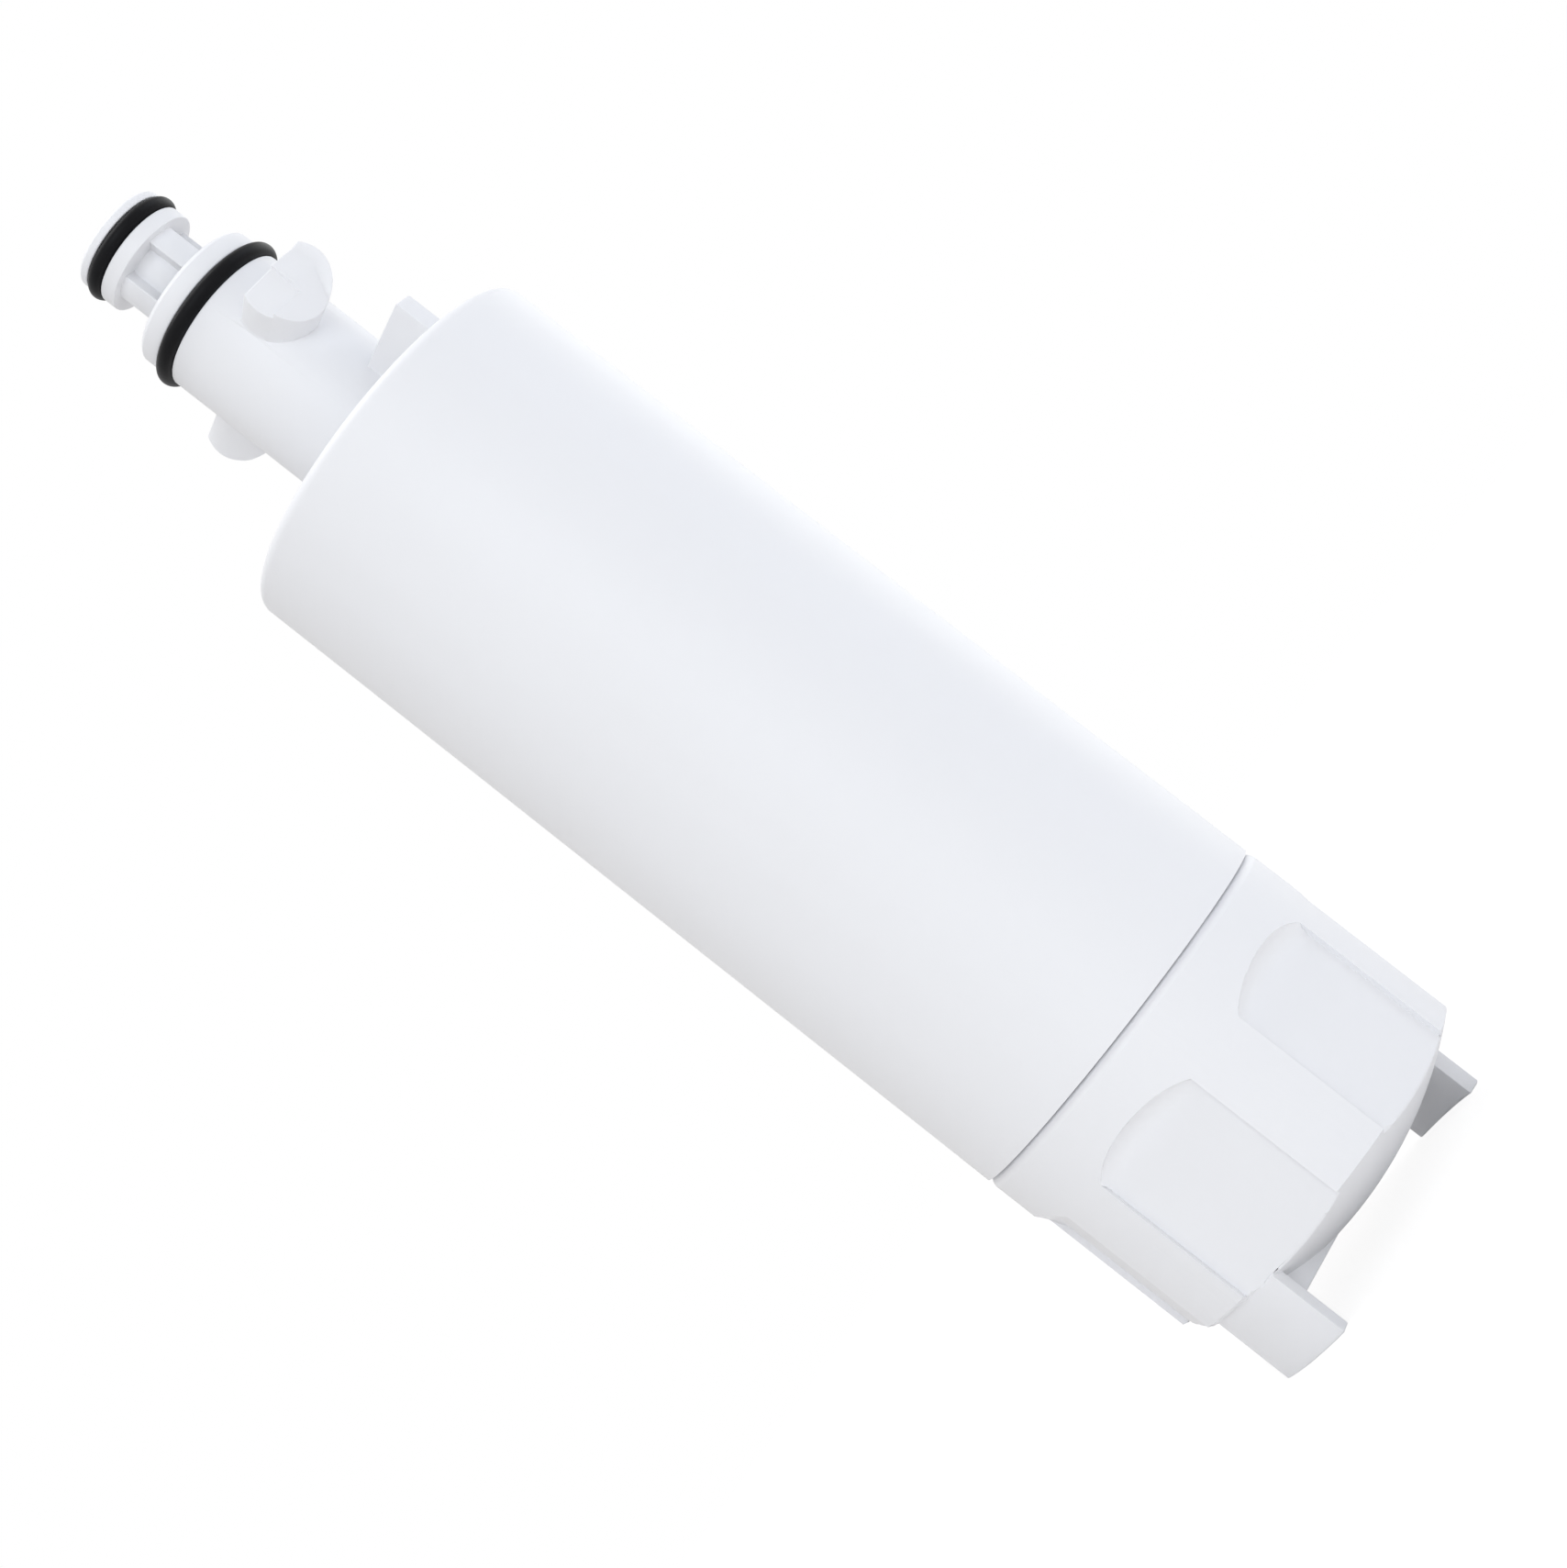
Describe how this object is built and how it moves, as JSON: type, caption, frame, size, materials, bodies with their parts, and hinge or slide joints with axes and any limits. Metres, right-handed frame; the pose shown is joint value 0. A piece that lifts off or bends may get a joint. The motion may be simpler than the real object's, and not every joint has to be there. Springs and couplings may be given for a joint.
{
  "type": "refrigerator water filter cartridge",
  "caption": "White plastic water filter cartridge with a bayonet neck, ring-sealed spigots, a recessed grip cap and a carbon element inside.",
  "frame": {"origin": "on the axis, in the plane of the ends of the two tabs that it stands on", "axes": "+Z along the axis towards the spigot, +X through one bayonet lug"},
  "size_m": [0.06, 0.06, 0.2349],
  "materials": {
    "shell": "satin moulded white",
    "seal": "smooth, lightly greased",
    "carbon": "porous pressed carbon",
    "felt": "white felt",
    "element_cap": "moulded white"
  },
  "bodies": {
    "root": {"housing": "shell", "end_cap": "shell", "large_o_ring": "seal", "small_o_ring": "seal", "carbon_block": "carbon", "prefilter_wrap": "felt", "upper_element_cap": "element_cap", "lower_element_cap": "element_cap", "element_o_ring": "seal"}
  },
  "joints": []
}
